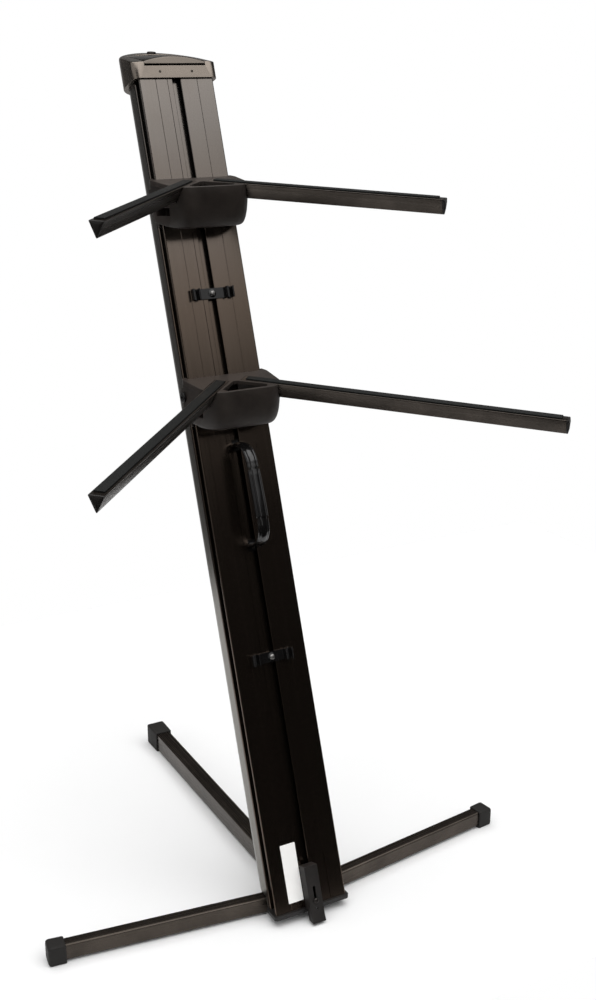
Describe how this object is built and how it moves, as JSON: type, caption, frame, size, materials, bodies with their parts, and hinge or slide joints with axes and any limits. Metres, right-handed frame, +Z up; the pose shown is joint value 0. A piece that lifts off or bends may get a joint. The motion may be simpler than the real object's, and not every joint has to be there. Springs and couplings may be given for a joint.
{
  "type": "keyboard stand",
  "caption": "Leaning extruded column on fold-out legs, carrying clamped brackets with pairs of padded support arms for keyboards, with lidded top cap and carry handle.",
  "frame": {"origin": "centre of the stand's footprint box, on the floor", "axes": "+Z up, +Y towards the back (the rear leg), -Y towards the player (the arms), +X to the player's right"},
  "size_m": [0.7328, 0.6849, 1.1699],
  "materials": {
    "anodised": "dark brown-black anodised, satin",
    "cast": "dark powder coat, fine texture",
    "tube": "dark satin coat",
    "plastic": "moulded black plastic",
    "gloss": "glossy black plastic",
    "rubber": "ribbed black rubber",
    "steel": "plain zinc-plated steel",
    "paper": "plain white film"
  },
  "bodies": {
    "column": {"column_front_extrusion": "anodised", "column_rear_shell": "anodised", "top_cap_housing": "plastic", "boom_mount_insert": "steel", "top_cap_screw_left": "steel", "top_cap_screw_right": "steel", "bottom_end_cap": "plastic", "leg_hub": "cast", "leg_left_pivot_pin": "steel", "leg_right_pivot_pin": "steel", "leg_rear_pivot_pin": "steel", "latch_guide_bolt": "cast", "carry_handle_bail": "gloss", "carry_handle_grip": "gloss", "carry_handle_stud_top": "steel", "carry_handle_stud_bottom": "steel", "blank_label": "paper", "lid_hinge_pin": "steel", "latch_spring": "steel"},
    "lid": {"top_cap_lid": "plastic"},
    "latch": {"latch_plate": "cast"},
    "clip_upper": {"cable_clip_upper": "gloss", "cable_clip_upper_bolt": "steel"},
    "clip_lower": {"cable_clip_lower": "gloss", "cable_clip_lower_bolt": "steel"},
    "tier_low": {"tier_low_bracket": "cast", "tier_low_slot_key": "steel"},
    "knob_low_left": {"tier_low_clamp_knob_left": "plastic"},
    "jaw_low_left": {"tier_low_clamp_jaw_left": "steel"},
    "arm_low_left": {"arm_low_left_tube": "tube", "arm_low_left_pad": "rubber", "arm_low_left_end_plug": "plastic"},
    "knob_low_right": {"tier_low_clamp_knob_right": "plastic"},
    "jaw_low_right": {"tier_low_clamp_jaw_right": "steel"},
    "arm_low_right": {"arm_low_right_tube": "tube", "arm_low_right_pad": "rubber", "arm_low_right_end_plug": "plastic"},
    "tier_high": {"tier_high_bracket": "cast", "tier_high_slot_key": "steel"},
    "knob_high_left": {"tier_high_clamp_knob_left": "plastic"},
    "jaw_high_left": {"tier_high_clamp_jaw_left": "steel"},
    "arm_high_left": {"arm_high_left_tube": "tube", "arm_high_left_pad": "rubber", "arm_high_left_end_plug": "plastic"},
    "knob_high_right": {"tier_high_clamp_knob_right": "plastic"},
    "jaw_high_right": {"tier_high_clamp_jaw_right": "steel"},
    "arm_high_right": {"arm_high_right_tube": "tube", "arm_high_right_pad": "rubber", "arm_high_right_end_plug": "plastic"},
    "leg_left": {"leg_left_tube": "tube", "leg_left_foot": "rubber", "leg_left_tang": "steel"},
    "leg_right": {"leg_right_tube": "tube", "leg_right_foot": "rubber", "leg_right_tang": "steel"},
    "leg_rear": {"leg_rear_tube": "tube", "leg_rear_foot": "rubber", "leg_rear_tang": "steel"}
  },
  "joints": [
    {"name": "lid_hinge", "type": "hinge", "parent": "column", "child": "lid", "pos_m": [0, 0.23751, 1.16195], "axis": [-1, 0, 0], "range_deg": [0, 100]},
    {"name": "latch_slide", "type": "slide", "parent": "column", "child": "latch", "axis": [0, 0.3363, 0.9418], "range_m": [-0.01, 0], "stiffness_N_per_m": 300, "springref_m": 0.008, "deforming": ["latch_spring"]},
    {"name": "clip_upper_slide", "type": "slide", "parent": "column", "child": "clip_upper", "axis": [0, 0.3363, 0.9418], "range_m": [-0.01, 0.01]},
    {"name": "clip_lower_slide", "type": "slide", "parent": "column", "child": "clip_lower", "axis": [0, 0.3363, 0.9418], "range_m": [-0.2, 0.12]},
    {"name": "tier_low_slide", "type": "slide", "parent": "column", "child": "tier_low", "axis": [0, 0.3363, 0.9418], "range_m": [-0.01, 0.08]},
    {"name": "jaw_low_left_slide", "type": "slide", "parent": "tier_low", "child": "jaw_low_left", "axis": [-1, 0, 0], "range_m": [0, 0.0015]},
    {"name": "knob_low_left_turn", "type": "hinge", "parent": "jaw_low_left", "child": "knob_low_left", "pos_m": [-0.06, 0.024, 0.71269], "axis": [-1, 0, 0], "range_deg": [0, 540]},
    {"name": "arm_low_left_slide", "type": "slide", "parent": "tier_low", "child": "arm_low_left", "axis": [-0.6794, -0.7325, -0.0422], "range_m": [0, 0.06]},
    {"name": "jaw_low_right_slide", "type": "slide", "parent": "tier_low", "child": "jaw_low_right", "axis": [1, 0, 0], "range_m": [0, 0.0015]},
    {"name": "knob_low_right_turn", "type": "hinge", "parent": "jaw_low_right", "child": "knob_low_right", "pos_m": [0.06, 0.024, 0.71269], "axis": [1, 0, 0], "range_deg": [0, 540]},
    {"name": "arm_low_right_slide", "type": "slide", "parent": "tier_low", "child": "arm_low_right", "axis": [0.6794, -0.7325, -0.0422], "range_m": [0, 0.06]},
    {"name": "tier_high_slide", "type": "slide", "parent": "column", "child": "tier_high", "axis": [0, 0.3363, 0.9418], "range_m": [-0.06, 0.12]},
    {"name": "jaw_high_left_slide", "type": "slide", "parent": "tier_high", "child": "jaw_high_left", "axis": [-1, 0, 0], "range_m": [0, 0.0015]},
    {"name": "knob_high_left_turn", "type": "hinge", "parent": "jaw_high_left", "child": "knob_high_left", "pos_m": [-0.06, 0.11799, 0.97591], "axis": [-1, 0, 0], "range_deg": [0, 540]},
    {"name": "arm_high_left_slide", "type": "slide", "parent": "tier_high", "child": "arm_high_left", "axis": [-0.6794, -0.7325, -0.0422], "range_m": [0, 0.06]},
    {"name": "jaw_high_right_slide", "type": "slide", "parent": "tier_high", "child": "jaw_high_right", "axis": [1, 0, 0], "range_m": [0, 0.0015]},
    {"name": "knob_high_right_turn", "type": "hinge", "parent": "jaw_high_right", "child": "knob_high_right", "pos_m": [0.06, 0.11799, 0.97591], "axis": [1, 0, 0], "range_deg": [0, 540]},
    {"name": "arm_high_right_slide", "type": "slide", "parent": "tier_high", "child": "arm_high_right", "axis": [0.6794, -0.7325, -0.0422], "range_m": [0, 0.06]},
    {"name": "leg_left_fold", "type": "hinge", "parent": "column", "child": "leg_left", "pos_m": [-0.033, -0.1966, 0.0155], "axis": [-0.1214, -0.9348, 0.3338], "range_deg": [0, 92.48]},
    {"name": "leg_right_fold", "type": "hinge", "parent": "column", "child": "leg_right", "pos_m": [0.033, -0.1966, 0.0155], "axis": [-0.1214, 0.9348, -0.3338], "range_deg": [0, 92.48]},
    {"name": "leg_rear_fold", "type": "hinge", "parent": "column", "child": "leg_rear", "pos_m": [0, -0.1896, 0.0175], "axis": [-1, 0, 0], "range_deg": [0, 109.65]}
  ],
  "couplings": [
    {"joint": "knob_low_left_turn", "follows": "jaw_low_left_slide", "rad_per_m": 6283.2},
    {"joint": "knob_low_right_turn", "follows": "jaw_low_right_slide", "rad_per_m": 6283.2},
    {"joint": "knob_high_left_turn", "follows": "jaw_high_left_slide", "rad_per_m": 6283.2},
    {"joint": "knob_high_right_turn", "follows": "jaw_high_right_slide", "rad_per_m": 6283.2}
  ]
}
